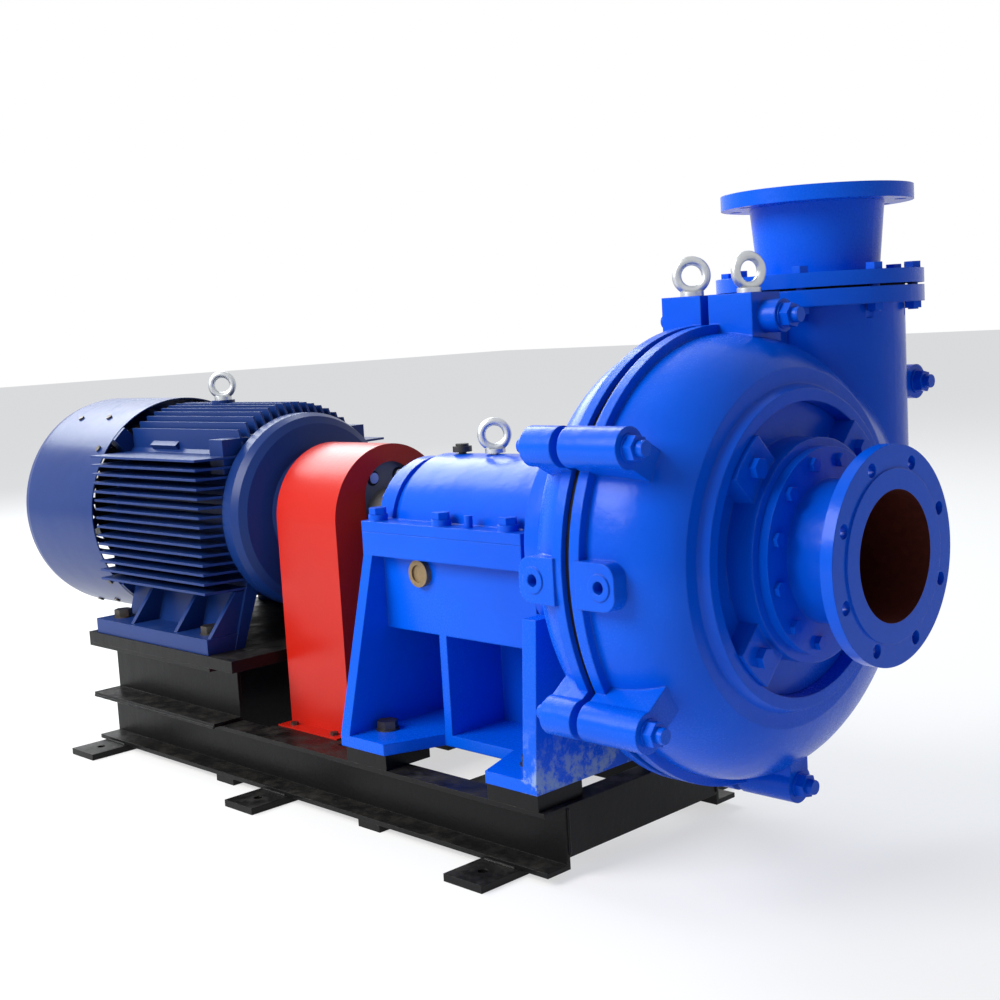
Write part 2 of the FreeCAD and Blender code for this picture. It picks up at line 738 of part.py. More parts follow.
def liner_body(grow):
    """Outside of the volute liner, or with grow the cavity that takes it."""
    r = liner_r + grow
    steps = ((0.0, 0.9), (0.3, 0.36), (0.9, 0.0))
    sections = [(liner_x0 + liner_round * d, r - liner_round * c) for d, c in steps]
    sections += [(liner_x1 - liner_round * d, r - liner_round * c) for d, c in reversed(steps)]
    body = Part.makeLoft([spiral_wire(x, radius, 1.0) for x, radius in sections], True, True)
    nozzle = rod_z(grow_right, casing_flange_z, neck_liner_r + grow, split_x, neck_y)
    return body.fuse(nozzle)


def stud_boss(centre, target, x0, x1):
    y, z = centre
    dy, dz = target[0] - y, target[1] - z
    length = math.hypot(dy, dz)
    ny, nz = dy / length, dz / length
    w = stud_boss_r * 0.8
    depth = stud_boss_r * 2.4
    corners = [(x0, y - nz * w, z + ny * w), (x0, y + nz * w, z - ny * w),
               (x0, y + nz * w + ny * depth, z - ny * w + nz * depth),
               (x0, y - nz * w + ny * depth, z + ny * w + nz * depth)]
    return [rod_x(x0, x1, stud_boss_r, y, z), prism(corners, (x1 - x0, 0, 0))]


def ear(x, side, x_lip):
    """Flat ear beside the lip, rounded at its free end, with a raised ring at its hole."""
    x_end = x + side * ear_end
    x_c = x_end - side * ear_round
    a, b = sorted((x_c, x_lip - side * 6))
    c, d = sorted((x_end, x_c))
    y1 = -base_r + 60
    z0, z1 = ear_z - ear_half_z, ear_z + ear_half_z
    pieces = [box(a, b, ear_y, y1, z0, z1), box(c, d, ear_y, y1, z0 + ear_round, z1 - ear_round)]
    pieces += [rod_y(ear_y, y1, ear_round, x_c, z) for z in (z0 + ear_round, z1 - ear_round)]
    pieces.append(rod_y(ear_y - 2, y1, ear_ring_r, x, ear_z))
    return pieces


def casing_half(front):
    side = 1 if front else -1
    x_split = front_lip_x if front else back_lip_x
    x_lip = x_split + side * lip_t
    x_face = face_x if front else back_face_x
    end = 3 if front else 2
    a, b = sorted((x_split, x_lip))
    body = join(spiral_plate(a, b, lip_r), neck_strip(a, b, neck_r + lip_out))
    body = body.fuse(dome(x_lip, x_face, face_r if front else back_face_r))
    neck = rod_z(grow_right, casing_flange_z0, neck_r, split_x, neck_y)
    flange = rod_z(casing_flange_z0, casing_flange_z, casing_flange_r, split_x, neck_y)
    half_space = (box(x_split, 0, -900, 900, -900, 900) if front
                  else box(-900, x_split, -900, 900, -900, 900))
    body = body.fuse([neck.common(half_space), flange.common(half_space)])
    extra = []
    for stud in studs:
        c, d = sorted((x_split, stud[end]))
        extra += stud_boss(stud[:2], stud[4], c, d)
    box_x = top_box_x[1] if front else top_box_x[0]
    e, f = sorted((x_split, box_x))
    extra.append(box(e, f, top_box_y[0], top_box_y[1], base_r - 60, casing_flange_z))
    g, h = sorted((x_split, top_stud[end]))
    extra.append(rod_x(g, h, top_boss_r, *top_stud[:2]))
    hole_x = ear_front_x if front else ear_back_x
    extra += ear(hole_x, side, x_lip)
    if front:
        extra.append(Part.makeCone(rim_base_r, rim_r, rim_x - x_face, V(x_face, 0, 0), V(1, 0, 0)))
        extra.append(rod_x(x_face - 4, x_face, rim_base_r))
    else:
        extra.append(rod_x(bracket_x1, x_face + 4, back_hub_r))
    body = body.fuse(extra)
    cuts = [liner_body(fit)]
    if front:
        cuts += [rod_x(liner_x1, rim_x, cover_bore_r), rod_x(step_x, rim_x, rim_bore_r)]
        cuts += [rod_x(step_x - 25, step_x, cover_pad_bolt_r, y, z)
                 for y, z in around(4, cover_pad_pcd_r, 45)]
    else:
        cuts += [rod_x(x_face + back_lip_t, liner_x0, cover_bore_r),
                 rod_x(bracket_x1, liner_x0, back_lip_r)]
        cuts += [rod_x(bracket_x1, bracket_x1 + 24, 8.0, y, z) for y, z in yoke_screws()]
    for stud in studs + (top_stud,):
        c, d = sorted((x_split, stud[end]))
        cuts.append(rod_x(c, d, stud_r + fit, *stud[:2]))
    cuts.append(rod_y(ear_y - 2, -base_r + 20, ear_hole_r, hole_x, ear_z))
    for dx, dy in around(spool_bolts, spool_pcd_r, 22.5):
        x, y = split_x + dx, neck_y + dy
        cuts.append(rod_z(casing_flange_z0, casing_flange_z, spool_bolt_r + fit, x, y))
        cuts.append(rod_z(casing_flange_z0 - 24, casing_flange_z0, spool_bolt_r * 1.9, x, y))
    cuts.append(rod_z(casing_flange_z - eye_thread_l - 2, casing_flange_z, eye_thread_r + fit,
                      casing_eye_x[1 if front else 0], sum(top_box_y) / 2))
    return body.cut(cuts)


def casing_gasket():
    outline = join(spiral_plate(back_lip_x, front_lip_x, lip_r - 10),
                   neck_strip(back_lip_x, front_lip_x, neck_r + lip_out - 10))
    outline = outline.cut(liner_body(fit))
    outline = outline.cut([rod_x(back_lip_x, front_lip_x, stud_r + 1, *stud[:2]) for stud in studs])
    return outline.cut(box(back_lip_x, front_lip_x, -900, 900, casing_flange_z0 - 2, 900))


def passage():
    """Water passage of the volute: spiral chamber and the outlet bore."""
    half = liner_half - liner_wall
    x = split_x - half
    r = liner_r - liner_wall
    start = V(x, *polar(cutwater_r, cutwater_angle))
    middle = V(x, *polar((cutwater_r + r) / 2, 90 + cutwater_angle / 2))
    left = V(x, -r, 0)
    r_low = r + grow_bottom
    r_side = r_low + grow_right
    bottom = V(x, grow_bottom, -r_low)
    right = V(x, grow_bottom + r_side, grow_right)
    y_b, z_b = polar(r_low, 225)
    y_c, z_c = polar(r_side, 315)
    arcs = [Part.Arc(start, middle, left),
            Part.Arc(left, V(x, grow_bottom + y_b, z_b), bottom),
            Part.Arc(bottom, V(x, grow_bottom + y_c, grow_right + z_c), right),
            Part.Arc(right, V(x, *polar(r + bulge, cutwater_angle / 2)), start)]
    chamber = Part.Face(Part.Wire([arc.toShape() for arc in arcs])).extrude(V(2 * half, 0, 0))
    chamber = chamber.common(box(x, x + 2 * half, -900, 900, -900, neck_y))
    return chamber.fuse(rod_z(grow_right, casing_flange_z, liner_bore_r, split_x, neck_y))


def volute_liner():
    body = liner_body(0).cut(passage())
    return body.cut(rod_x(liner_x0, liner_x1, side_bore_r))


def casing_studs():
    result = []
    for stud in studs + (top_stud,):
        y, z, a, b = stud[:4]
        rod = rod_x(a - stud_r * 2.2, b + stud_r * 2.6, stud_r, y, z)
        front_nut = bolt_head(V(b + 3, y, z), V(1, 0, 0), stud_r)
        back_nut = bolt_head(V(a, y, z), V(-1, 0, 0), stud_r)
        washer = rod_x(b, b + 3, stud_r * 1.85, y, z)
        result.append(join(rod, front_nut, back_nut, washer))
    return result


def casing_parts():
    save("front_casing_half", casing_half(True))
    save("rear_casing_half", casing_half(False))
    save("casing_gasket", casing_gasket())
    save("volute_liner", volute_liner())
    save("casing_studs", *casing_studs())
    bolts = []
    for y, z in yoke_screws():
        x = bracket_x1 - yoke_t
        bolts.append(join(rod_x(x, bracket_x1 + 22, 8.0 - seat, y, z),
                          bolt_head(V(x, y, z), V(-1, 0, 0), 8.0)))
    save("casing_bracket_bolts", *bolts)


# --- impeller ----------------------------------------------------------------------------
def vane(first):
    """Backward curved vane of even thickness between the two shrouds."""
    outer, inner = [], []
    steps = 10
    for i in range(steps + 1):
        t = i / steps
        r = eye_r * 0.75 + (impeller_r - 4 - eye_r * 0.75) * t
        a = first - 85 * t
        half = math.degrees(vane_t / 2 / r)
        outer.append(polar(r, a + half))
        inner.append(polar(r, a - half))
    x0 = impeller_x0 + shroud_t
    points = [(x0, y, z) for y, z in outer + inner[::-1]]
    return prism(points, (2 * impeller_half - 2 * shroud_t, 0, 0))


def impeller():
    back = rod_x(impeller_x0, impeller_x0 + shroud_t, impeller_r)
    front = tube_x(impeller_x1 - shroud_t, impeller_x1, impeller_r, eye_r)
    hub = turned([(impeller_x0, 0), (impeller_x0, hub_r), (split_x - 20, hub_r),
                  (shaft_wet_x + 4, hub_r * 0.85), (shaft_wet_x + 26, hub_r * 0.5),
                  (shaft_wet_x + 34, 0)])
    vanes = [vane(360.0 * i / vane_count) for i in range(vane_count)]
    wheel = join(back, front, hub, *vanes)
    return wheel.cut(rod_x(impeller_x0, shaft_wet_x, shaft_r_wet + seat))


# --- suction side: cover, liner and spool ------------------------------------------------
def suction_cover():
    spigot = rod_x(liner_x1, step_x, cover_bore_r - fit)
    plate = rod_x(step_x, pocket_floor_x, rim_bore_r - fit)
    hub = rod_x(pocket_floor_x, ring_x - ring_t, hub_ring_r)
    cover = join(spigot, plate, hub)
    pads = []
    for i in range(4):
        pad = box(pocket_floor_x, pad_face_x, throat_r, rim_bore_r, -cover_pad_w / 2,
                  cover_pad_w / 2)
        pads.append(pad.rotated(V(0, 0, 0), V(1, 0, 0), 45 + 90 * i))
    limit = rod_x(pocket_floor_x, pad_face_x, rim_bore_r - fit)
    cover = cover.fuse([pad.common(limit) for pad in pads])
    cuts = [rod_x(liner_x1, ring_x, throat_r)]
    cuts += [rod_x(step_x, pad_face_x, cover_pad_bolt_r + fit, y, z)
             for y, z in around(4, cover_pad_pcd_r, 45)]
    ring_back = ring_x - ring_t
    cuts += [rod_x(ring_back - 28, ring_back, ring_bolt_r, y, z)
             for y, z in around(ring_bolts, ring_pcd_r, 15)]
    return cover.cut(cuts).removeSplitter()


def suction_spool():
    ring = rod_x(ring_x - ring_t, ring_x, ring_r)
    pipe = rod_x(ring_x, -suction_flange_t, suction_bore_r + pipe_wall)
    flange = rod_x(-suction_flange_t, -raised_h, suction_flange_r)
    raised = rod_x(-raised_h, 0, raised_r)
    spool = join(ring, pipe, flange, raised)
    cuts = [rod_x(ring_x - ring_t, 0, suction_bore_r)]
    cuts += [rod_x(ring_x - ring_t, ring_x, ring_bolt_r + fit, y, z)
             for y, z in around(ring_bolts, ring_pcd_r, 15)]
    cuts += [rod_x(-suction_flange_t, 0, suction_hole_r, y, z)
             for y, z in around(suction_holes, suction_pcd_r, 180.0 / suction_holes)]
    return spool.cut(cuts)


def suction_parts():
    save("impeller", impeller())
    save("suction_cover", suction_cover())
    side_r = side_bore_r - fit
    throat = join(rod_x(impeller_x1 + impeller_gap, liner_x1, side_r),
                  rod_x(liner_x1, ring_x - ring_t, throat_r - fit))
    save("throat_liner", throat.cut(rod_x(impeller_x1, 0, liner_bore_r)))
    back = rod_x(liner_x0, impeller_x0 - impeller_gap, side_r)
    save("back_liner", back.cut(rod_x(liner_x0, impeller_x0, sleeve_r + 3)))
    save("suction_spool", suction_spool())
    ring_back = ring_x - ring_t
    save("suction_spool_bolts", *[join(rod_x(ring_back - 26, ring_x, ring_bolt_r - seat, y, z),
                                       bolt_head(V(ring_x, y, z), V(1, 0, 0), ring_bolt_r))
                                  for y, z in around(ring_bolts, ring_pcd_r, 15)])
    save("suction_cover_bolts", *[join(rod_x(step_x - 23, pad_face_x, cover_pad_bolt_r - seat, y, z),
                                       bolt_head(V(pad_face_x, y, z), V(1, 0, 0), cover_pad_bolt_r))
                                  for y, z in around(4, cover_pad_pcd_r, 45)])


# --- shaft seal: stuffing box, packing and gland -----------------------------------------
def seal_parts():
    step = back_face_x + back_lip_t
    housing = join(rod_x(step, liner_x0, cover_bore_r - fit),
                   rod_x(back_face_x - 16, step, back_lip_r - fit),
                   rod_x(seal_box_x, step, seal_box_r))
    housing = housing.cut([rod_x(seal_box_x, seal_step_x, seal_bore_r),
                           rod_x(seal_step_x, liner_x0, sleeve_r + 3)])
    gland_x = seal_box_x - gland_gap
    studs_y = (-gland_stud_y, gland_stud_y)
    housing = housing.cut([rod_x(seal_box_x, seal_box_x + 30, gland_stud_r, y, 0)
                           for y in studs_y])
    save("stuffing_box", housing)
    rings = []
    for i in range(packing_rings):
        x = seal_step_x - packing_w * (i + 1)
        rings.append(tube_x(x, x + packing_w, seal_bore_r - seat, sleeve_r + running))
    save("packing_rings", *rings)
    packed_x = seal_step_x - packing_w * packing_rings
    gland = join(rod_x(gland_x - gland_t, packed_x, seal_bore_r - fit),
                 rod_x(gland_x - gland_t, gland_x, gland_flange_r))
    gland = gland.cut(rod_x(gland_x - gland_t, packed_x, sleeve_r + 1))
    gland = gland.cut([rod_x(gland_x - gland_t, gland_x, gland_stud_r + fit, y, 0)
                       for y in studs_y])
    save("packing_gland", gland)
    bolts = []
    for y in studs_y:
        rod = rod_x(gland_x - gland_t - 10, seal_box_x + 28, gland_stud_r - seat, y, 0)
        nut = bolt_head(V(gland_x - gland_t, y, 0), V(-1, 0, 0), gland_stud_r * 0.8)
        bolts.append(join(rod, nut))
    save("gland_studs", *bolts)


# --- discharge side ----------------------------------------------------------------------
def discharge_spool():
    z1 = spool_z0 + spool_flange_t
    z2 = outlet_z - outlet_flange_t
    up = V(0, 0, 1)
    low = rod_z(spool_z0, z1, casing_flange_r, split_x, neck_y)
    top = rod_z(z2, outlet_z, outlet_flange_r, split_x, neck_y)
    cone = Part.makeCone(spool_bottom_r, spool_top_r, z2 - z1, V(split_x, neck_y, z1), up)
    spool = join(low, cone, top)
    cuts = [rod_z(spool_z0, outlet_z, outlet_r, split_x, neck_y)]
    cuts += [rod_z(spool_z0, z1, spool_bolt_r + fit, split_x + dx, neck_y + dy)
             for dx, dy in around(spool_bolts, spool_pcd_r, 22.5)]
    cuts += [rod_z(z2, outlet_z, outlet_hole_r, split_x + dx, neck_y + dy)
             for dx, dy in around(outlet_holes, outlet_pcd_r, 180.0 / outlet_holes)]
    return spool.cut(cuts)


def discharge_parts():
    save("discharge_spool", discharge_spool())
    gasket = rod_z(casing_flange_z, spool_z0, spool_pcd_r - spool_bolt_r * 1.6, split_x, neck_y)
    save("discharge_gasket",
         gasket.cut(rod_z(casing_flange_z, spool_z0, liner_bore_r, split_x, neck_y)))
    bolts = []
    top = spool_z0 + spool_flange_t
    for dx, dy in around(spool_bolts, spool_pcd_r, 22.5):
        x, y = split_x + dx, neck_y + dy
        shank = rod_z(casing_flange_z0 - 14, top, spool_bolt_r, x, y)
        head = bolt_head(V(x, y, top), V(0, 0, 1), spool_bolt_r)
        nut = bolt_head(V(x, y, casing_flange_z0), V(0, 0, -1), spool_bolt_r)
        bolts.append(join(shank, head, nut))
    save("discharge_bolts", *bolts)


# --- pin coupling and its guard ----------------------------------------------------------
def coupling_half(x_face, away, shaft_r):
    """Flange and hub; away is the direction of the hub along the shaft."""
    x_flange = x_face + away * coupling_flange_t
    x_hub = x_flange + away * coupling_hub_l
    a, b = sorted((x_face, x_flange))
    c, d = sorted((x_face, x_hub))
    half = join(rod_x(a, b, coupling_r), rod_x(c, d, coupling_hub_r))
    return half.cut(rod_x(c, d, shaft_r + seat))


def coupling_parts():
    motor_half = coupling_half(coupling_x, -1, motor_shaft_r)
    pump_half = coupling_half(pump_coupling_x, 1, shaft_r_coupling)
    back = coupling_x - coupling_flange_t
    front = pump_coupling_x + coupling_flange_t
    holes = [rod_x(back, coupling_x, pin_r + seat, y, z)
             for y, z in around(pin_count, pin_pcd_r, 22.5)]
    save("motor_coupling_half", motor_half.cut(holes))
    holes = [rod_x(pump_coupling_x, front, bush_r + fit, y, z)
             for y, z in around(pin_count, pin_pcd_r, 22.5)]
    save("pump_coupling_half", pump_half.cut(holes))
    pins, bushes = [], []
    for y, z in around(pin_count, pin_pcd_r, 22.5):
        nut = bolt_head(V(back, y, z), V(-1, 0, 0), pin_r)
        pins.append(join(rod_x(back, front, pin_r, y, z), nut, rod_x(front, front + 5, pin_r * 1.4, y, z)))
        bushes.append(tube_x(pump_coupling_x, front, bush_r, pin_r, y, z))
    save("coupling_pins", *pins)
    save("coupling_bushes", *bushes)


def arch(x0, x1, r, z_centre, z_low):
    return join(rod_x(x0, x1, r, 0, z_centre), box(x0, x1, -r, r, z_low, z_centre))


def coupling_guard():
    hood = arch(guard_x0, guard_x1, guard_r, 0, rail_z1)
    hood = hood.cut(arch(guard_x0 + guard_t, guard_x1 - guard_t, guard_r - guard_t, 0, rail_z1))
    hood = hood.cut(arch(guard_x1 - guard_t, guard_x1, guard_slot_r, guard_slot_z, rail_z1))
    hood = hood.cut(arch(guard_x0, guard_x0 + guard_t, guard_motor_slot_r, 0, rail_z1))
    feet = box(guard_x0, guard_x1, guard_r - guard_t, guard_r + guard_flange_w, rail_z1,
               rail_z1 + guard_t)
    hood = join(hood, feet, mirror_y(feet))
    holes = [rod_z(rail_z1, rail_z1 + guard_t, guard_bolt_r + fit, x, y)
             for x in guard_bolt_x for y in (-guard_bolt_y, guard_bolt_y)]
    return hood.cut(holes)


# --- motor -------------------------------------------------------------------------------
def side_fin(z):
    """Level cooling fin from the frame to the side, its drive end cut on a slope."""
    y_in = math.sqrt((frame_r - 4) ** 2 - z * z)
    points = [(frame_x0 + 2, y_in, z), (frame_x0 + 2, fin_reach, z), (fin_x1 - fin_slope, fin_reach, z),
              (frame_x1, y_in, z)]
    return prism(points, (0, 0, fin_t))


def top_fin(y):
    z_in = math.sqrt((frame_r - 4) ** 2 - y * y)
    z_out = math.sqrt(fin_top_r ** 2 - y * y)
    points = [(frame_x0 + 2, y, z_in), (frame_x0 + 2, y, z_out), (fin_x1 - fin_slope, y, z_out),
              (frame_x1, y, z_in)]
    return prism(points, (0, fin_t, 0))


def motor_foot():
    """Foot with its inclined wall and ribs, on the +Y side."""
    z0 = -motor_shaft_height
    z1 = z0 + motor_foot_t
    plate = box(motor_foot_x0, motor_foot_x1, motor_foot_half_y - motor_foot_w, motor_foot_half_y,
                z0, z1)
    y0 = motor_foot_half_y - motor_foot_w
    wall = prism([(motor_foot_x0 + 18, y0, z0), (motor_foot_x0 + 18, y0 + 24, z0),
                  (motor_foot_x0 + 18, y0 - 30, -110), (motor_foot_x0 + 18, y0 - 60, -125)],
                 (frame_x1 - motor_foot_x0 - 22, 0, 0))
    pieces = [plate, wall]
    for x in rib_x:
        pieces.append(prism([(x, y0, z1), (x, motor_foot_half_y - 12, z1), (x, y0 + 8, -158),
                             (x, y0 - 22, -158)], (rib_t, 0, 0)))
    return pieces


def motor_frame():
    body = rod_x(frame_x0, frame_x1, frame_r)
    first = -(side_fins - 9) / 2 * fin_pitch - 94
    fins = []
    for i in range(side_fins):
        fin = side_fin(first + i * fin_pitch)
        fins += [fin, mirror_y(fin)]
    for i in range(top_fins):
        fins.append(top_fin((i - (top_fins - 1) / 2) * fin_pitch - fin_t / 2))
    foot = motor_foot()
    extra = foot + [mirror_y(piece) for piece in foot]
    for side in (-1, 1):
        y_a, y_b = sorted((side * 110, side * motor_lug_y))
        extra.append(box(*motor_lug_x, y_a, y_b, *motor_lug_z))
    extra.append(box(*term_x, 150, term_y[0], *term_z))
    pad = box(-1850, -1742, -26, 26, frame_r - 8, frame_r + 12)
    extra.append(pad.rotated(V(0, 0, 0), V(1, 0, 0), 39))
    extra.append(rod_z(frame_r - 20, motor_eye_z, 27, motor_eye_x, 0))
    body = body.fuse(fins + extra)
    cuts = [rod_x(frame_x0, frame_x1, frame_r - frame_wall)]
    cuts += [rod_z(-motor_shaft_height, -motor_shaft_height + motor_foot_t, motor_bolt_r + 1, x, y)
             for x in motor_bolt_x for y in (-motor_bolt_y, motor_bolt_y)]
    cuts.append(rod_z(motor_eye_z - eye_thread_l - 2, motor_eye_z, eye_thread_r + fit, motor_eye_x, 0))
    cuts.append(rod_y(frame_r - frame_wall - 10, term_y[0], 22, sum(term_x) / 2, sum(term_z) / 2))
    cuts.append(box(*term_x, term_y[0], fin_reach + 1, *term_z))
    return body.cut(cuts).removeSplitter()


def drive_end_shield():
    r = frame_r - frame_wall - fit
    x0, x1 = frame_x1, shield_x1
    outline = [(x0, motor_bearing_r), (x0 - 15, motor_bearing_r + 60), (x0 - 15, r), (x0, r),
               (x0, shield_r), (x0 + 30, shield_r), (x0 + 48, shield_r - 8),
               (x0 + 58, shield_r - 24), (x0 + 62, shield_r - 44), (x0 + 70, shield_boss_r + 40),
               (x0 + 92, shield_boss_r + 8), (x1 - 12, shield_boss_r), (x1, shield_boss_r - 6),
               (x1, motor_shaft_r + 6), (x1 - 16, motor_shaft_r + 6), (x1 - 16, motor_bearing_r)]
    shield = turned(outline)
    inside = turned([(x0 - 15, motor_bearing_r + 60), (x0 - 15, r - 14), (x0 + 26, r - 14),
                     (x0 + 46, shield_boss_r + 34), (x0 + 60, motor_bearing_r + 14),
                     (x0 + 20, motor_bearing_r + 14)])
    shield = shield.cut(inside)
    return shield.cut(rod_x(x0 - 20, x0 + 40, motor_bearing_r - 2))


def rear_end_shield():
    r = frame_r - frame_wall - fit
    x0 = frame_x0
    return turned([(x0, motor_bearing_r), (x0, r), (x0 - 14, r), (x0 - 14, shield_boss_r + 14),
                   (x0 - 34, shield_boss_r), (x0 - 62, shield_boss_r), (x0 - 62, motor_shaft_r + 6),
                   (x0 - 50, motor_shaft_r + 6), (x0 - 50, motor_bearing_r)])


def fan_cowl():
    """Sheet cowl, rounded into a slotted rear wall."""
    r = cowl_r
    k = cowl_round
    profile, inner = [(cowl_x1, 0), (cowl_x1, r)], [(cowl_x1, 0), (cowl_x1, r - cowl_t)]
    for a in (0, 18, 36, 54, 72, 90):
        dx, dr = polar(k, a)
        profile.append((cowl_x0 + k - dr, r - k + dx))
        dx, dr = polar(k - cowl_t, a)
        inner.append((cowl_x0 + k - dr, r - k + dx))
    profile.append((cowl_x0, 0))
    inner.append((cowl_x0 + cowl_t, 0))
    solid = turned(profile)
    shell = solid.cut(turned(inner))
    slots = [tube_x(cowl_x0, cowl_x0 + cowl_t, ri + 13, ri) for ri in range(44, 190, 26)]
    spokes = [box(cowl_x0, cowl_x0 + cowl_t, -r, r, -9, 9).rotated(V(0, 0, 0), V(1, 0, 0), a)
              for a in (0, 45, 90, 135)]
    shell = shell.cut([slot.cut(spokes) for slot in slots])
    shell = shell.translated(V(0, 0, cowl_z)).cut([cowl_hole(x, a) for x, a in cowl_screws])
    inside = rod_x(cowl_x0 + k, frame_x0, r - 1, 0, cowl_z)
    brackets = []
    for i in range(4):
        lug_box = box(frame_x0 - 34, frame_x0, frame_r - 12.5, r + 20, -20, 20)
        brackets.append(lug_box.rotated(V(0, 0, 0), V(1, 0, 0), 45 + 90 * i).common(inside))
    return join(shell, *brackets)


def cowl_hole(x, degrees):
    y, z = polar(1.0, degrees)
    start = V(x, y * (cowl_r - 10), z * (cowl_r - 10) + cowl_z)
    return Part.makeCylinder(cowl_screw_r + fit, 14, start, V(0, y, z))


def cowl_screw(x, degrees):
    y, z = polar(1.0, degrees)
    out = V(0, y, z)
    centre = V(x, 0, cowl_z)
    shank = Part.makeCylinder(cowl_screw_r, 9, centre + out * (cowl_r - 9), out)
    head = Part.makeCylinder(cowl_screw_r * 1.9, 4, centre + out * cowl_r, out)
    return join(shank, head)


def fan():
    hub = rod_x(fan_x0, fan_x1, 62)
    plate = rod_x(fan_x1 - 6, fan_x1, fan_r)
    blades = []
    for i in range(fan_blades):
        blade = box(fan_x0, fan_x1 - 2, 50, fan_r - 3, -2.5, 2.5)
        blades.append(blade.rotated(V(0, 0, 0), V(1, 0, 0), 360.0 * i / fan_blades))
    return join(hub, plate, *blades).cut(rod_x(fan_x0, fan_x1, motor_shaft_r - 6 + seat))


def motor_parts():
    save("motor_frame", motor_frame())
    save("drive_end_shield", drive_end_shield())
    save("rear_end_shield", rear_end_shield())
    save("fan_cowl", fan_cowl())
    save("cooling_fan", fan())
    bearings_at = (shield_x1 - 16 - motor_bearing_w / 2, frame_x0 - 50 + motor_bearing_w / 2)
    save("motor_bearings", *[tube_x(x - motor_bearing_w / 2, x + motor_bearing_w / 2,
                                    motor_bearing_r - seat, motor_journal_r + running)
                             for x in bearings_at])
    end_r = motor_shaft_r - 6
    shaft = turned([(fan_x0 - 12, 0), (fan_x0 - 12, end_r), (fan_x1, end_r), (fan_x1, motor_shaft_r),
                    (bearings_at[1] - motor_bearing_w / 2, motor_shaft_r),
                    (bearings_at[1] - motor_bearing_w / 2, motor_journal_r),
                    (core_x0, motor_journal_r), (core_x0, motor_journal_r + 8),
                    (core_x1, motor_journal_r + 8), (core_x1, motor_journal_r),
                    (shield_x1 - 4, motor_journal_r), (shield_x1 - 4, motor_shaft_r),
                    (coupling_x, motor_shaft_r), (coupling_x, 0)])
    save("motor_shaft", shaft)
    save("motor_rotor_core", tube_x(core_x0, core_x1, stator_bore_r - rotor_gap,
                                    motor_journal_r + 8 + seat))
    stack = tube_x(core_x0, core_x1, frame_r - frame_wall, stator_bore_r)
    windings = [tube_x(core_x0 - 42, core_x0, 184, stator_bore_r + 8),
                tube_x(core_x1, core_x1 + 42, 184, stator_bore_r + 8)]
    save("motor_stator", join(stack, *windings))
    y0, y1 = term_y
    case = box(*term_x, y0, y1 - 22, *term_z)
    case = case.cut(box(term_x[0] + 5, term_x[1] - 5, y0 + 5, y1 - 22, term_z[0] + 5, term_z[1] - 5))
    case = case.cut(rod_y(y0, y0 + 5, 22, sum(term_x) / 2, sum(term_z) / 2))
    case = case.cut(rod_z(term_z[0], term_z[0] + 5, cable_hole_r, sum(term_x) / 2, y0 + 45))
    lid = box(term_x[0] - 4, term_x[1] + 4, y1 - 22, y1, term_z[0] - 4, term_z[1] + 4)
    save("terminal_box", case, lid)
    bolts = []
    for x in motor_bolt_x:
        for y in (-motor_bolt_y, motor_bolt_y):
            z = -motor_shaft_height + motor_foot_t
            shank = rod_z(stool_z1 - stool_top_t + 2, z + 3, motor_bolt_r, x, y)
            washer = rod_z(z, z + 3, motor_bolt_r * 1.9, x, y)
            bolts.append(join(shank, washer, bolt_head(V(x, y, z + 3), V(0, 0, 1), motor_bolt_r)))
    save("motor_foot_bolts", *bolts)


# --- lifting eyes and small screws -------------------------------------------------------
def hardware_parts():
    top_y = sum(top_box_y) / 2
    save("lifting_eyebolts",
         eyebolt(housing_eye_x, 0, eye_pad_z, -44),
         eyebolt(casing_eye_x[0], top_y, casing_flange_z, -44),
         eyebolt(casing_eye_x[1], top_y, casing_flange_z, -20),
         eyebolt(motor_eye_x, 0, motor_eye_z, -44))
    screws = []
    for x in guard_bolt_x:
        for y in (-guard_bolt_y, guard_bolt_y):
            z = rail_z1 + guard_t
            screws.append(join(rod_z(rail_z1 - deck_t, z, guard_bolt_r, x, y),
                               bolt_head(V(x, y, z), V(0, 0, 1), guard_bolt_r)))
    screws += [cowl_screw(x, a) for x, a in cowl_screws]
    save("cover_screws", *screws)


base_parts()
stool_parts()
bracket_parts()
shaft_parts()
casing_parts()
suction_parts()
seal_parts()
discharge_parts()
coupling_parts()
save("coupling_guard", coupling_guard())
motor_parts()
hardware_parts()
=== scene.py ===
import math

import bmesh
import bpy
from mathutils import Matrix, Vector


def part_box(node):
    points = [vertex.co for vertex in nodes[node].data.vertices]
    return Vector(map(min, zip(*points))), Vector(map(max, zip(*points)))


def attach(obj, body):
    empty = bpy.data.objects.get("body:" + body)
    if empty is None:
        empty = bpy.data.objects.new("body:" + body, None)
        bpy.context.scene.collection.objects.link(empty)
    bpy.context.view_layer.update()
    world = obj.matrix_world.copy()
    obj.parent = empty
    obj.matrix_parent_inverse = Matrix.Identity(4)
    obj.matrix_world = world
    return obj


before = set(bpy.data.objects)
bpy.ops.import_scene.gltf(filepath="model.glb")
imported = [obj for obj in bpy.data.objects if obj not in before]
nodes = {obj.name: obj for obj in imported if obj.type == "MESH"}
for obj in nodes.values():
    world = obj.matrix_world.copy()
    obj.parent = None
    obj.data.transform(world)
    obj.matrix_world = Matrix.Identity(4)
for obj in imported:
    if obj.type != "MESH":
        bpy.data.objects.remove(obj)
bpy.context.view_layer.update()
shaft_z = 0.564


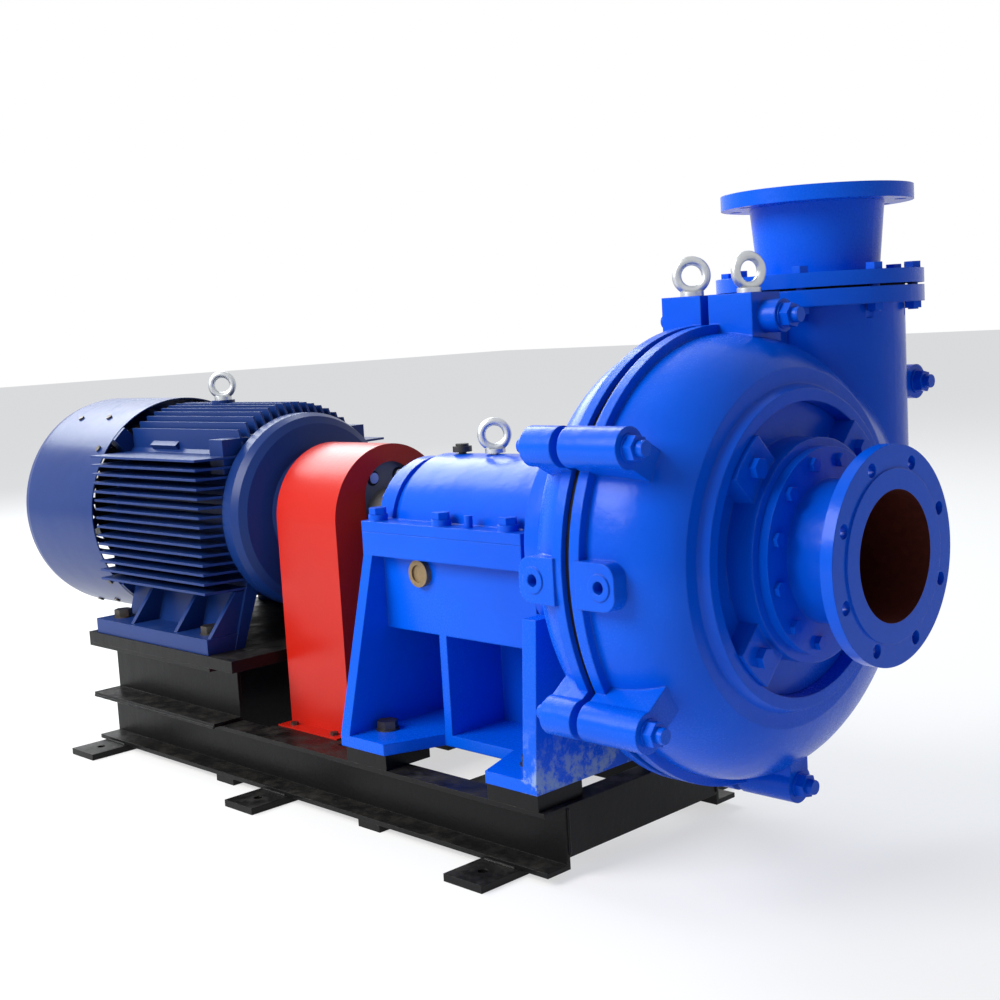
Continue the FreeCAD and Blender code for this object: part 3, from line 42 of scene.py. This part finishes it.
# --- Base frame: two rolled side channels, end channels, cross bars and drilled lugs -----
# Hot-rolled steel, stick-welded and brushed with black enamel. Dust lies on its level
# faces, and the enamel is rubbed to a brown haze where boots and slings have touched it.
class Wire:
    """An output of a material's node; arithmetic on it adds Math nodes."""

    def __init__(self, finish, socket):
        self.finish = finish
        self.socket = socket

    def math(self, operation, *values):
        return self.finish.node("Math", {"operation": operation}, dict(enumerate(values)))

    def __add__(self, other):
        return self.math("ADD", self, other)

    def __rsub__(self, other):
        return self.math("SUBTRACT", other, self)

    def __mul__(self, other):
        return self.math("MULTIPLY", self, other)

    __radd__ = __add__
    __rmul__ = __mul__

    def between(self, low, high):
        """0 below low, 1 above high, smooth between."""
        settings = {"interpolation_type": "SMOOTHSTEP"}
        return self.finish.node("MapRange", settings,
                                {"Value": self, "From Min": low, "From Max": high})


class Finish:
    """A procedural material whose nodes are made by method calls."""

    def __init__(self, name):
        self.material = bpy.data.materials.new(name)
        self.material.use_nodes = True
        self.tree = self.material.node_tree
        self.tree.nodes.clear()

    def node(self, kind, settings=None, sockets=None, output=0):
        node = self.tree.nodes.new("ShaderNode" + kind)
        for key, value in (settings or {}).items():
            setattr(node, key, value)
        for key, value in (sockets or {}).items():
            if isinstance(value, Wire):
                self.tree.links.new(value.socket, node.inputs[key])
            else:
                node.inputs[key].default_value = value
        return Wire(self, node.outputs[output])

    def place(self):
        return self.node("TexCoord", output="Object")

    def noise(self, scale, detail=3.0, roughness=0.55, stretch=None):
        vector = self.place()
        if stretch:
            vector = self.node("VectorMath", {"operation": "MULTIPLY"}, {0: vector, 1: stretch})
        return self.node("TexNoise", None, {"Vector": vector, "Scale": scale, "Detail": detail,
                                            "Roughness": roughness})

    def axis(self, name):
        return self.node("SeparateXYZ", None, {0: self.place()}, output=name)

    def facing_up(self):
        normal = self.node("NewGeometry", output="Normal")
        return self.node("SeparateXYZ", None, {0: normal}, output="Z")

    def mix(self, factor, first, second):
        return self.node("Mix", {"data_type": "RGBA"}, {0: factor, 6: first, 7: second}, output=2)

    def edges(self, radius):
        """Normal of the rounded edge, and how near an edge is, from 0 to 1."""
        rounded = self.node("Bevel", {"samples": 4}, {"Radius": radius})
        plain = self.node("NewGeometry", output="Normal")
        both = self.node("VectorMath", {"operation": "DOT_PRODUCT"}, {0: rounded, 1: plain},
                         output="Value")
        return rounded, (1 - both).between(0.02, 0.2)

    def bump(self, height, depth, normal=None):
        sockets = {"Height": height, "Distance": depth, "Strength": 1.0}
        if normal:
            sockets["Normal"] = normal
        return self.node("Bump", None, sockets)

    def surface(self, colour, roughness, normal=None, **settings):
        sockets = {"Base Color": colour, "Roughness": roughness}
        if normal:
            sockets["Normal"] = normal
        for name, value in settings.items():
            sockets[name.replace("_", " ")] = value
        shader = self.node("BsdfPrincipled", None, sockets)
        self.end_with(shader)
        return self.material

    def end_with(self, shader):
        output = self.tree.nodes.new("ShaderNodeOutputMaterial")
        self.tree.links.new(shader.socket, output.inputs["Surface"])


def dress(material, *names):
    for name in names:
        mesh = nodes[name].data
        mesh.materials.clear()
        mesh.materials.append(material)


def black_enamel():
    finish = Finish("black_enamel")
    rounded, edge = finish.edges(0.002)
    cloud = finish.noise(5.0, 4.0)
    grain = finish.noise(90.0, 4.0, 0.65)
    runs = finish.noise(16.0, 3.0, 0.5, (1.0, 1.0, 0.25))
    level = finish.facing_up().between(0.7, 0.98)
    dust = level * finish.noise(22.0, 5.0, 0.7).between(0.35, 0.75)
    rub = edge * grain.between(0.55, 0.7)
    colour = finish.mix(cloud, (0.0025, 0.0025, 0.003, 1), (0.007, 0.007, 0.0075, 1))
    colour = finish.mix(dust * 0.55, colour, (0.045, 0.042, 0.038, 1))
    colour = finish.mix(rub * 0.8, colour, (0.10, 0.075, 0.05, 1))
    roughness = 0.26 + 0.18 * cloud + 0.3 * dust
    normal = finish.bump(grain * 0.35 + runs, 0.0012, rounded)
    return finish.surface(colour, roughness, normal, Specular_IOR_Level=0.15)


enamel = black_enamel()
dress(enamel, "base_rail_near", "base_rail_far", "base_end_channels", "base_cross_members",
      "anchor_lugs", "bracket_pads")


# --- Weld beads on the base: hand-laid fillet welds under the enamel ---------------------
# Each bead is a row of overlapping ripples along the corner where two pieces meet.
def piece(name, points, faces, material, body):
    mesh = bpy.data.meshes.new(name)
    mesh.from_pydata(points, [], faces)
    mesh.polygons.foreach_set("use_smooth", [True] * len(mesh.polygons))
    mesh.materials.append(material)
    thing = bpy.data.objects.new(name, mesh)
    bpy.context.scene.collection.objects.link(thing)
    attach(thing, body)
    return thing


def tube(start, end, radii, sides):
    """Points and faces of a closed round bar whose radius follows the list radii."""
    start, end = Vector(start), Vector(end)
    along = (end - start).normalized()
    across = along.orthogonal().normalized()
    other = along.cross(across)
    points, faces = [], []
    for i, radius in enumerate(radii):
        centre = start.lerp(end, i / (len(radii) - 1))
        for k in range(sides):
            angle = 2 * math.pi * k / sides
            points.append(centre + (across * math.cos(angle) + other * math.sin(angle)) * radius)
    for i in range(len(radii) - 1):
        for k in range(sides):
            a, b = i * sides + k, i * sides + (k + 1) % sides
            faces.append((a, b, b + sides, a + sides))
    faces.append(tuple(reversed(range(sides))))
    faces.append(tuple(range(len(points) - sides, len(points))))
    return points, faces


def gather(shapes):
    points, faces = [], []
    for some_points, some_faces in shapes:
        first = len(points)
        points += some_points
        faces += [tuple(first + i for i in face) for face in some_faces]
    return points, faces


def bead(start, end, radius=0.004):
    count = max(6, int((Vector(end) - Vector(start)).length / 0.0022))
    ripple = [radius * (0.82 + 0.18 * abs(math.sin(i * 0.9)) + 0.07 * math.sin(i * 0.37))
              for i in range(count)]
    return tube(start, end, [radius * 0.3] + ripple + [radius * 0.3], 8)


rail_low, rail_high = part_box("base_rail_near")
ends_low, ends_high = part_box("base_end_channels")
stool_low, stool_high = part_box("motor_stool_beams")
lug_x = (-0.6525, -0.015, 0.6525)
lug_half = 0.04
beads = []
for side in (-1, 1):
    lip = side * abs(rail_low.y)
    web = side * abs(rail_high.y)
    for x in lug_x:
        beads.append(bead((x - lug_half, lip, rail_low.z), (x + lug_half, lip, rail_low.z)))
    beads.append(bead((stool_low.x, side * stool_high.y, stool_low.z),
                      (stool_high.x, side * stool_high.y, stool_low.z), 0.0035))
    for x in (ends_low.x, ends_high.x):
        beads.append(bead((x, web, ends_low.z + 0.004), (x, web, ends_high.z - 0.004), 0.0035))
weld_points, weld_faces = gather(beads)
piece("weld_beads", weld_points, weld_faces, enamel, "set")


# --- Motor stool: two more channels under a thick top plate, closed by plates ------------
# The same rolled steel and black enamel as the base, welded on top of the side channels.
dress(enamel, "motor_stool_beams", "motor_stool_plates")


# --- Bearing bracket and cap: iron castings with machined joint faces --------------------
# Sand-cast grey iron, filled, primed and sprayed with a thick glossy blue. The castings'
# long waves and fine sand grain show through, and corners are softly rounded.
def sprayed_blue(name, wave, sand, corner, worn=False):
    finish = Finish(name)
    rounded, edge = finish.edges(corner)
    cloud = finish.noise(2.2, 3.0)
    waves = finish.noise(13.0, 2.0, 0.4)
    grain = finish.noise(260.0, 3.0, 0.6)
    peel = finish.noise(70.0, 2.0, 0.5)
    colour = finish.mix(cloud.between(0.3, 0.7), (0.0, 0.070, 0.56, 1), (0.0, 0.090, 0.66, 1))
    # Painted highlight: edges are mixed toward a lighter blue, broken up by the grain, as if catching
    # light.
    colour = finish.mix(edge * grain.between(0.5, 0.75) * 0.35, colour, (0.02, 0.13, 0.72, 1))
    roughness = 0.16 + 0.12 * cloud + 0.08 * grain
    if worn:
        low = 1 - finish.axis("Z").between(0.15, 0.30)
        front = finish.axis("X").between(0.715, 0.725)
        rubbed = low * front * finish.noise(26.0, 6.0, 0.75).between(0.47, 0.62)
        colour = finish.mix(rubbed * 0.75, colour, (0.30, 0.40, 0.48, 1))
        roughness = roughness + 0.4 * rubbed
    height = waves * wave + peel * 0.0004 + grain * sand
    normal = finish.bump(height, 1.0, rounded)
    return finish.surface(colour, roughness, normal, Specular_IOR_Level=0.14)


cast_blue = sprayed_blue("cast_blue", 0.0022, 0.00012, 0.004)
bracket_blue = sprayed_blue("bracket_blue", 0.0016, 0.00010, 0.004, worn=True)
machined_blue = sprayed_blue("machined_blue", 0.0004, 0.00004, 0.0012)
dress(bracket_blue, "bearing_bracket")
dress(cast_blue, "bearing_cap")
dress(machined_blue, "cap_bolts", "cap_dowels", "coupling_end_bearing_cover",
      "pump_end_bearing_cover", "bearing_cover_bolts")


# --- Pump casing: two ductile iron halves, clamped by studs over a rubber-lined volute ---
# The same blue over rougher castings. The rubber joint shows black between the lips.
def dull_rubber(name, colour):
    finish = Finish(name)
    cloud = finish.noise(60.0, 4.0)
    tone = finish.mix(cloud, colour, tuple(0.55 * c for c in colour[:3]) + (1,))
    return finish.surface(tone, 0.55 + 0.25 * cloud, finish.bump(cloud, 0.0008),
                          Specular_IOR_Level=0.25)


dress(cast_blue, "rear_casing_half", "front_casing_half", "stuffing_box")
dress(machined_blue, "casing_studs", "casing_bracket_bolts")


def solids(name):
    """Lowest and highest corner of each separate solid of a node."""
    mesh = bmesh.new()
    mesh.from_mesh(nodes[name].data)
    bmesh.ops.remove_doubles(mesh, verts=mesh.verts, dist=1e-5)
    left, result = set(mesh.verts), []
    while left:
        stack = [left.pop()]
        members = []
        while stack:
            vertex = stack.pop()
            members.append(vertex.co.copy())
            for edge in vertex.link_edges:
                other = edge.other_vert(vertex)
                if other in left:
                    left.remove(other)
                    stack.append(other)
        result.append((Vector([min(p[i] for p in members) for i in range(3)]),
                       Vector([max(p[i] for p in members) for i in range(3)])))
    mesh.free()
    return sorted(result, key=lambda corners: tuple(corners[0]))


# --- Threads on the casing studs: rolled M24 threads, sprayed over with the casing -------
# The bare end of each stud, past its nut, is ringed by the thread's crests.
def thread(start, end, radius, pitch=0.003):
    count = int((Vector(end) - Vector(start)).length / pitch)
    radii = []
    for _ in range(count):
        radii += [radius, radius * 1.07]
    return tube(start, end, radii + [radius * 0.9], 20)


stud_r = 0.012
thread_length = 0.030
threads = []
for low, high in solids("casing_studs"):
    middle = (low + high) / 2
    end = high.x - 0.0005
    threads.append(thread((high.x - thread_length, middle.y, middle.z), (end, middle.y, middle.z),
                          stud_r))
thread_points, thread_faces = gather(threads)
piece("stud_threads", thread_points, thread_faces, machined_blue, "set")
dress(dull_rubber("joint_rubber", (0.006, 0.006, 0.007, 1)), "casing_gasket", "discharge_gasket",
      "coupling_bushes")


# --- Suction side: cover ring, pipe spool and its bolts ----------------------------------
# Cover and spool are turned castings. The spool's bore is left in red-brown primer.
def spool_paint():
    finish = Finish("spool_blue")
    rounded, edge = finish.edges(0.002)
    cloud = finish.noise(2.6, 3.0)
    peel = finish.noise(80.0, 2.0, 0.5)
    place = finish.node("VectorMath", {"operation": "SUBTRACT"},
                        {0: finish.place(), 1: (0.0, 0.0, shaft_z)})
    place = finish.node("VectorMath", {"operation": "MULTIPLY"}, {0: place, 1: (0.0, 1.0, 1.0)})
    radius = finish.node("VectorMath", {"operation": "LENGTH"}, {0: place}, output="Value")
    inside = 1 - radius.between(0.1018, 0.1024)
    colour = finish.mix(cloud, (0.0, 0.068, 0.54, 1), (0.0, 0.088, 0.65, 1))
    rust = finish.mix(peel, (0.030, 0.0045, 0.003, 1), (0.075, 0.012, 0.006, 1))
    colour = finish.mix(inside, colour, rust)
    roughness = 0.17 + 0.10 * cloud + 0.45 * inside
    normal = finish.bump(peel * (0.0004 + 0.0008 * inside), 1.0, rounded)
    return finish.surface(colour, roughness, normal, Specular_IOR_Level=0.14)


dress(cast_blue, "suction_cover")
dress(machined_blue, "suction_cover_bolts", "suction_spool_bolts")
dress(spool_paint(), "suction_spool")


# --- Wet parts inside: liners, impeller, gland -------------------------------------------
# High-chrome iron, left as cast, with a thin coat of red-brown primer against rust. The
# gland and the coupling halves beside them are plain grey iron.
def primed_iron(name, light, dark):
    finish = Finish(name)
    cloud = finish.noise(18.0, 5.0)
    grain = finish.noise(240.0, 3.0)
    tone = finish.mix(cloud, dark, light)
    return finish.surface(tone, 0.5 + 0.3 * cloud, finish.bump(cloud * 0.6 + grain * 0.3, 0.001),
                          Specular_IOR_Level=0.25)


red_primer = primed_iron("red_primer", (0.075, 0.013, 0.008, 1), (0.028, 0.006, 0.004, 1))
raw_iron = primed_iron("raw_iron", (0.20, 0.19, 0.18, 1), (0.10, 0.095, 0.09, 1))
dress(red_primer, "throat_liner", "volute_liner", "back_liner", "impeller")
dress(raw_iron, "packing_gland", "motor_coupling_half", "pump_coupling_half")
dress(dull_rubber("braided_packing", (0.22, 0.19, 0.13, 1)), "packing_rings")


# --- Shafts, sleeves and bearings: turned and ground steel -------------------------------
# Bright steel with fine rings left by the lathe and the grinding wheel. Foot bolts and the
# motor's laminations are darker, with rust in patches.
def turned_steel(name, colour, rough, rust):
    finish = Finish(name)
    lines = finish.noise(40.0, 3.0, 0.6, (30.0, 1.0, 1.0))
    stain = finish.noise(14.0, 5.0).between(0.5, 0.8) * rust
    tone = finish.mix(lines, colour, tuple(0.75 * c for c in colour[:3]) + (1,))
    tone = finish.mix(stain, tone, (0.09, 0.035, 0.015, 1))
    return finish.surface(tone, rough + 0.15 * lines + 0.3 * stain, finish.bump(lines, 0.0003),
                          Metallic=1.0)


ground_steel = turned_steel("ground_steel", (0.55, 0.55, 0.55, 1), 0.22, 0.1)
dark_steel = turned_steel("dark_steel", (0.11, 0.10, 0.09, 1), 0.38, 0.7)
dress(ground_steel, "pump_shaft", "shaft_sleeve", "bearing_inner_rings", "bearing_outer_rings",
      "motor_shaft", "motor_bearings", "coupling_pins", "gland_studs")
dress(dark_steel, "bracket_foot_bolts", "motor_foot_bolts", "motor_stator", "motor_rotor_core")


# --- Discharge side: spool, joint ring and bolts -----------------------------------------
# A short flanged pipe bolted on top of the casing's neck, turned, and sprayed in the same
# blue as the other machined pieces.
dress(machined_blue, "discharge_spool", "discharge_bolts")


# --- Lifting eyes: drop-forged rings, zinc plated ----------------------------------------
# One is screwed into the bearing housing, one into each casing half and one into the motor.
# The forged skin shows as soft dimples under the plating.
def zinc_plate():
    finish = Finish("zinc_plate")
    cloud = finish.noise(45.0, 4.0)
    spangle = finish.node("TexVoronoi", None, {"Vector": finish.place(), "Scale": 260.0})
    tone = finish.mix(cloud, (0.62, 0.64, 0.66, 1), (0.42, 0.44, 0.46, 1))
    return finish.surface(tone, 0.28 + 0.2 * spangle, finish.bump(cloud, 0.0006), Metallic=0.9)


zinc = zinc_plate()
dress(zinc, "lifting_eyebolts")


# --- Breather and sight glass ------------------------------------------------------------
# The breather is a moulded black cap on the bearing housing. The sight glass sits in a
# brass ring in the oil sump's wall and has gone dull and brown.
def moulded_black():
    finish = Finish("moulded_black")
    cloud = finish.noise(120.0, 3.0)
    tone = finish.mix(cloud, (0.006, 0.006, 0.007, 1), (0.013, 0.012, 0.012, 1))
    return finish.surface(tone, 0.4 + 0.15 * cloud, finish.bump(cloud, 0.0003))


def dull_brass():
    finish = Finish("dull_brass")
    stain = finish.noise(160.0, 4.0)
    tone = finish.mix(stain, (0.34, 0.24, 0.12, 1), (0.15, 0.11, 0.07, 1))
    return finish.surface(tone, 0.35 + 0.25 * stain, finish.bump(stain, 0.0005), Metallic=0.7)


dress(moulded_black(), "breather_cap", "cooling_fan")
dress(dull_brass(), "oil_sight_glass")


# --- Coupling guard: a folded steel sheet over the coupling ------------------------------
# Sheet steel, rolled over the top and folded out at its feet, sprayed in safety red.
def guard_red():
    finish = Finish("guard_red")
    rounded, edge = finish.edges(0.0015)
    cloud = finish.noise(3.0, 3.0)
    peel = finish.noise(110.0, 2.0, 0.5)
    dents = finish.noise(7.0, 1.0)
    scuffs = finish.noise(55.0, 6.0, 0.8).between(0.66, 0.74)
    low = 1 - finish.axis("Z").between(0.14, 0.5)
    tone = finish.mix(cloud, (0.40, 0.010, 0.005, 1), (0.52, 0.016, 0.007, 1))
    tone = finish.mix(edge * scuffs, tone, (0.20, 0.02, 0.015, 1))
    tone = finish.mix(low * scuffs * 0.4, tone, (0.15, 0.03, 0.02, 1))
    normal = finish.bump(dents * 0.0022 + peel * 0.00025, 1.0, rounded)
    return finish.surface(tone, 0.24 + 0.14 * cloud, normal, Specular_IOR_Level=0.2)


dress(guard_red(), "coupling_guard")
dress(dark_steel, "cover_screws")


# --- Motor: finned iron frame, end shields and sheet cowl --------------------------------
# Fine-cast grey iron and pressed sheet, both sprayed with a thin dark blue enamel.
def motor_blue(name, wave, corner, gloss):
    finish = Finish(name)
    rounded, edge = finish.edges(corner)
    cloud = finish.noise(3.5, 3.0)
    grain = finish.noise(200.0, 3.0, 0.6)
    waves = finish.noise(10.0, 2.0, 0.4)
    level = finish.facing_up().between(0.75, 1.0)
    dust = level * finish.noise(30.0, 5.0, 0.7).between(0.4, 0.8)
    tone = finish.mix(cloud, (0.0035, 0.020, 0.115, 1), (0.006, 0.030, 0.155, 1))
    # Painted highlight: every edge is mixed toward a lighter blue, as if catching light.
    tone = finish.mix(edge * 0.35, tone, (0.012, 0.048, 0.20, 1))
    tone = finish.mix(dust * 0.25, tone, (0.06, 0.08, 0.12, 1))
    normal = finish.bump(waves * wave + grain * 0.0001, 1.0, rounded)
    return finish.surface(tone, gloss + 0.12 * cloud + 0.2 * dust, normal, Specular_IOR_Level=0.2)


frame_blue = motor_blue("motor_frame_blue", 0.0008, 0.0018, 0.28)
cowl_blue = motor_blue("cowl_blue", 0.0014, 0.003, 0.24)
dress(frame_blue, "motor_frame", "drive_end_shield", "rear_end_shield", "terminal_box")
dress(cowl_blue, "fan_cowl")


# --- Studio: pale floor, soft light, camera ----------------------------------------------
# A white floor and backdrop that run into each other. One softbox lights the near side and
# a wider one over the motor's end gives the paint its long highlights.
def white_stage():
    """White that still takes the object's shadow."""
    finish = Finish("white_stage")
    path = finish.node("LightPath", output="Is Camera Ray")
    glossy = finish.node("LightPath", output="Is Glossy Ray")
    clear = finish.node("LightPath", output="Is Transmission Ray")
    seen = path.math("MAXIMUM", path.math("MAXIMUM", path, glossy), clear)
    matt = finish.node("BsdfDiffuse", None, {"Color": (0.9, 0.9, 0.9, 1)})
    bright = finish.node("Emission", None, {"Color": (1, 1, 1, 1), "Strength": 1.0})
    finish.end_with(finish.node("MixShader", None, {0: seen * 0.6, 1: matt, 2: bright}))
    return finish.material


floor_mesh = bpy.data.meshes.new("floor")
reach = 40.0
floor_mesh.from_pydata([(-reach, -reach, 0), (reach, -reach, 0), (reach, reach, 0), (-reach, reach, 0)],
                       [], [(0, 1, 2, 3)])
floor = bpy.data.objects.new("floor", floor_mesh)
bpy.context.scene.collection.objects.link(floor)
floor_mesh.materials.append(white_stage())

world = bpy.data.worlds.new("studio")
bpy.context.scene.world = world
world.use_nodes = True
sky = world.node_tree
sky.nodes.clear()
path = sky.nodes.new("ShaderNodeLightPath")
seen = path.outputs["Is Camera Ray"]
for ray in ("Is Glossy Ray", "Is Transmission Ray"):
    either = sky.nodes.new("ShaderNodeMath")
    either.operation = "MAXIMUM"
    sky.links.new(seen, either.inputs[0])
    sky.links.new(path.outputs[ray], either.inputs[1])
    seen = either.outputs[0]
mixed = sky.nodes.new("ShaderNodeMixShader")
sky.links.new(seen, mixed.inputs[0])
ambient, white = (0.80, 0.88, 1.0, 1), (1, 1, 1, 1)
for socket, colour, strength in ((1, ambient, 0.33), (2, white, 1.0)):
    background = sky.nodes.new("ShaderNodeBackground")
    background.inputs["Color"].default_value = colour
    background.inputs["Strength"].default_value = strength
    sky.links.new(background.outputs[0], mixed.inputs[socket])
sky_out = sky.nodes.new("ShaderNodeOutputWorld")
sky.links.new(mixed.outputs[0], sky_out.inputs["Surface"])


def softbox(name, place, target, width, height, power, colour):
    lamp = bpy.data.lights.new(name, "AREA")
    lamp.shape = "RECTANGLE"
    lamp.size, lamp.size_y = width, height
    lamp.energy = power
    lamp.color = colour
    holder = bpy.data.objects.new(name, lamp)
    bpy.context.scene.collection.objects.link(holder)
    holder.location = place
    holder.rotation_euler = (Vector(target) - Vector(place)).to_track_quat("-Z", "Y").to_euler()
    return holder


softbox("key_light", (-1.2, -4.2, 3.6), (0.2, 0.0, 0.5), 3.0, 3.0, 380.0, (1.0, 0.98, 0.95))
softbox("sky_light", (-4.5, 1.0, 4.2), (0.0, 0.0, 0.6), 5.0, 3.0, 420.0, (0.92, 0.97, 1.0))

turn, tilt, lean = math.radians(45.88), math.radians(-6.76), math.radians(-3.33)
forward = Vector((-math.sin(turn) * math.cos(tilt), math.cos(turn) * math.cos(tilt), math.sin(tilt)))
level = Vector((math.cos(turn), math.sin(turn), 0))
upright = level.cross(forward)
right = level * math.cos(lean) + upright * math.sin(lean)
up = upright * math.cos(lean) - level * math.sin(lean)
lens = bpy.data.cameras.new("camera")
lens.sensor_width = 36
lens.lens = 52.33
lens.clip_end = 200
camera = bpy.data.objects.new("camera", lens)
bpy.context.scene.collection.objects.link(camera)
camera.matrix_world = Matrix((right, up, -forward)).transposed().to_4x4()
camera.location = (2.43248, -1.9364, 0.94185)
bpy.context.scene.camera = camera
bpy.context.scene.view_settings.view_transform = "Standard"
